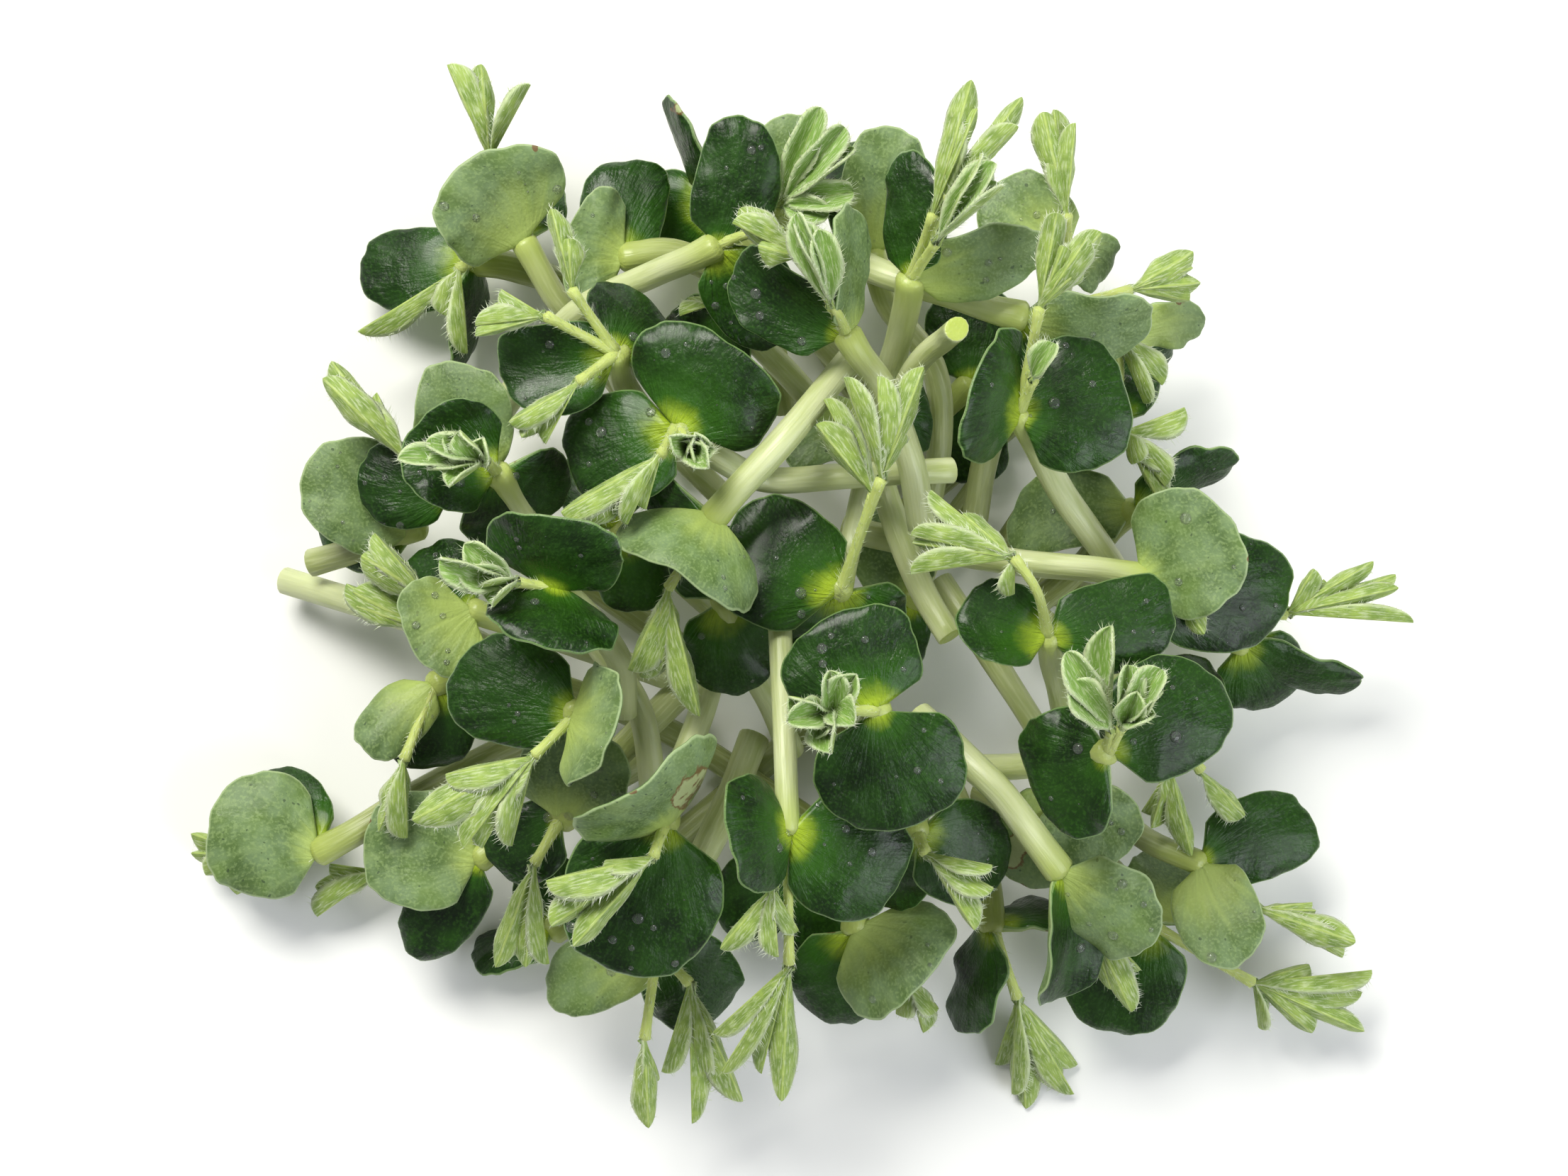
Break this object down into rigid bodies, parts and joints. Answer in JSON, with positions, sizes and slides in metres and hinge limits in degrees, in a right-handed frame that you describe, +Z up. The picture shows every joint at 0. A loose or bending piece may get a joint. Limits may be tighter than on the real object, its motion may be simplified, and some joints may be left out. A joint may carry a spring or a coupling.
{
  "type": "heap of microgreens",
  "caption": "Loose heap of cut lupin seedlings with pale stems, thick bean-shaped seed leaves and young palmate leaves, lying flat.",
  "frame": {"origin": "on the plane the heap lies on, under the centre of its box", "axes": "+X along the heap's longest side, the picture's right; +Y the picture's up; +Z up off the surface, towards the camera"},
  "size_m": [0.1706, 0.1468, 0.0583],
  "materials": {
    "seedling": "fresh leaf, satin to wet"
  },
  "bodies": {
    "root": {"seedling_01": "seedling", "seedling_02": "seedling", "seedling_03": "seedling", "seedling_04": "seedling", "seedling_05": "seedling", "seedling_06": "seedling", "seedling_08": "seedling", "seedling_09": "seedling", "seedling_10": "seedling", "seedling_11": "seedling", "seedling_12": "seedling", "seedling_13": "seedling", "seedling_14": "seedling", "seedling_15": "seedling", "seedling_16": "seedling", "seedling_17": "seedling", "seedling_18": "seedling", "seedling_19": "seedling", "seedling_20": "seedling", "seedling_21": "seedling", "seedling_22": "seedling", "seedling_23": "seedling", "seedling_25": "seedling", "seedling_26": "seedling", "seedling_27": "seedling", "seedling_28": "seedling", "seedling_29": "seedling", "seedling_30": "seedling", "seedling_31": "seedling", "seedling_32": "seedling", "seedling_33": "seedling", "seedling_34": "seedling", "seedling_35": "seedling", "seedling_36": "seedling", "seedling_37": "seedling", "seedling_38": "seedling", "seedling_39": "seedling", "seedling_40": "seedling", "seedling_41": "seedling", "seedling_42": "seedling", "seedling_43": "seedling", "seedling_44": "seedling", "seedling_45": "seedling", "seedling_47": "seedling", "seedling_48": "seedling", "seedling_52": "seedling", "seedling_53": "seedling", "seedling_55": "seedling", "seedling_56": "seedling", "seedling_57": "seedling", "seedling_58": "seedling", "seedling_59": "seedling", "seedling_60": "seedling"}
  },
  "joints": []
}
